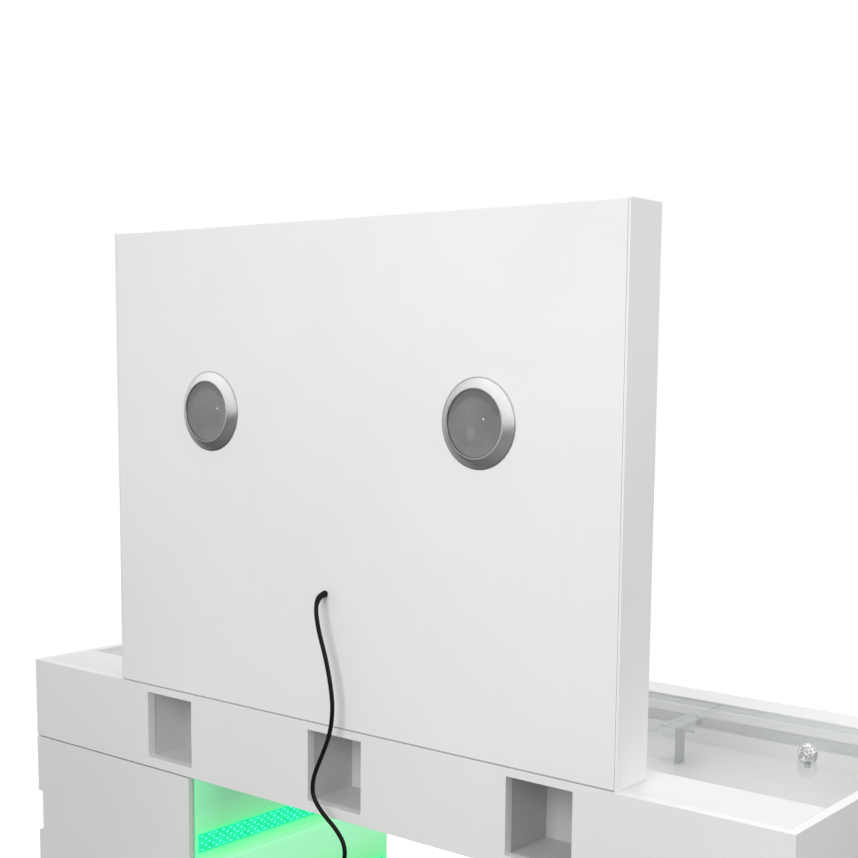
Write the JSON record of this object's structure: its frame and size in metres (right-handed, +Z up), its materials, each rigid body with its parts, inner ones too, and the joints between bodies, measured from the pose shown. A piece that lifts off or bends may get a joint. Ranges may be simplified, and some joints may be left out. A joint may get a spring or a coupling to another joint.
{
  "type": "photo booth counter",
  "caption": "White photo booth counter: twin pedestals, print pockets, glass-topped display well and an upright housing with flash lamp, camera window and mains lead.",
  "frame": {"origin": "on the floor under the middle of the counter's outline, the lead left out", "axes": "+Z up, the face with the windows and pockets looks along -Y, +X to the right seen from the front"},
  "size_m": [1.5, 0.7303, 1.652],
  "materials": {
    "white_laminate": "white satin laminate on board",
    "pocket_liner": "white-grey matt sheet",
    "lit_panel": "opal acrylic, lit green",
    "lamp_strip": "perforated opal strip over lamps",
    "light_bar": "satin anodised channel",
    "clear_glass": "clear toughened glass, polished edge",
    "clear_knob": "polished",
    "satin_post": "satin",
    "brushed_bezel": "circular brushing",
    "grey_lens": "smoked satin glass",
    "spring_steel": "bright zinc plated",
    "zinc_screw": "zinc plated",
    "cast_can": "cast, clear anodised",
    "lamp_board": "white solder mask",
    "black_plastic": "fine texture",
    "printer_plastic": "fine texture",
    "computer_front": "gloss",
    "supply_case": "black powder coat",
    "black_rubber": "matt",
    "cord_sheath": "satin flexible sheath",
    "plug_plastic": "moulded, satin",
    "plug_brass": "nickel plated"
  },
  "bodies": {
    "counter": {"box_front_board": "white_laminate", "box_end_boards": "white_laminate", "box_base_board": "white_laminate", "box_rear_board": "white_laminate", "top_board": "white_laminate", "well_front_rail": "white_laminate", "well_rear_rail": "white_laminate", "well_floor": "white_laminate", "housing_side_boards": "white_laminate", "housing_top_board": "white_laminate", "housing_bottom_board": "white_laminate", "housing_front_panel": "white_laminate", "housing_rear_panel": "white_laminate", "pedestal_outer_sides": "white_laminate", "pedestal_inner_sides": "white_laminate", "pedestal_backs": "white_laminate", "pedestal_bottoms": "white_laminate", "pedestal_shelves": "white_laminate", "pedestal_plinths": "white_laminate", "pocket_liner_left": "pocket_liner", "pocket_liner_centre": "pocket_liner", "pocket_liner_right": "pocket_liner", "lit_panels": "lit_panel", "lamp_strips": "lamp_strip", "well_light_bars": "light_bar", "glass_pane_centre": "clear_glass", "glass_supports": "satin_post", "left_bezel": "brushed_bezel", "right_bezel": "brushed_bezel", "left_lens": "grey_lens", "right_lens": "grey_lens", "bezel_clips": "spring_steel", "camera_brackets": "spring_steel", "rear_panel_screws": "zinc_screw", "flash_lamp_can": "cast_can", "flash_reflector": "cast_can", "flash_lamp_board": "lamp_board", "printer_tray": "black_plastic", "computer_case": "black_plastic", "magnetic_catches": "black_plastic", "photo_printer": "printer_plastic", "computer_front": "computer_front", "power_unit": "supply_case", "cable_bush": "black_rubber", "levelling_feet": "black_rubber", "cord_tube": "cord_sheath", "cord_coil": "cord_sheath", "cord_tail": "cord_sheath", "plug_body": "plug_plastic", "plug_pins": "plug_brass"},
    "left_door": {"left_door": "white_laminate", "left_door_fittings": "spring_steel"},
    "right_door": {"right_door": "white_laminate", "right_door_fittings": "spring_steel"},
    "left_pane": {"glass_pane_left": "clear_glass", "lift_knob_left": "clear_knob"},
    "right_pane": {"glass_pane_right": "clear_glass", "lift_knob_right": "clear_knob"},
    "camera": {"camera_body": "black_plastic", "camera_lens": "black_plastic"}
  },
  "joints": [
    {"name": "right_door_hinge", "type": "hinge", "parent": "counter", "child": "right_door", "pos_m": [0.3395, -0.282, 0.4], "axis": [0, 0, -1], "range_deg": [0, 95]},
    {"name": "left_door_hinge", "type": "hinge", "parent": "counter", "child": "left_door", "pos_m": [-0.3395, -0.282, 0.4], "axis": [0, 0, 1], "range_deg": [0, 95]},
    {"name": "left_pane_lift", "type": "slide", "parent": "counter", "child": "left_pane", "axis": [0, 0, 1], "range_m": [0, 0.06]},
    {"name": "right_pane_lift", "type": "slide", "parent": "counter", "child": "right_pane", "axis": [0, 0, 1], "range_m": [0, 0.06]},
    {"name": "camera_tilt", "type": "hinge", "parent": "counter", "child": "camera", "pos_m": [0.268, -0.2505, 1.366], "axis": [1, 0, 0], "range_deg": [-8, 8]}
  ]
}
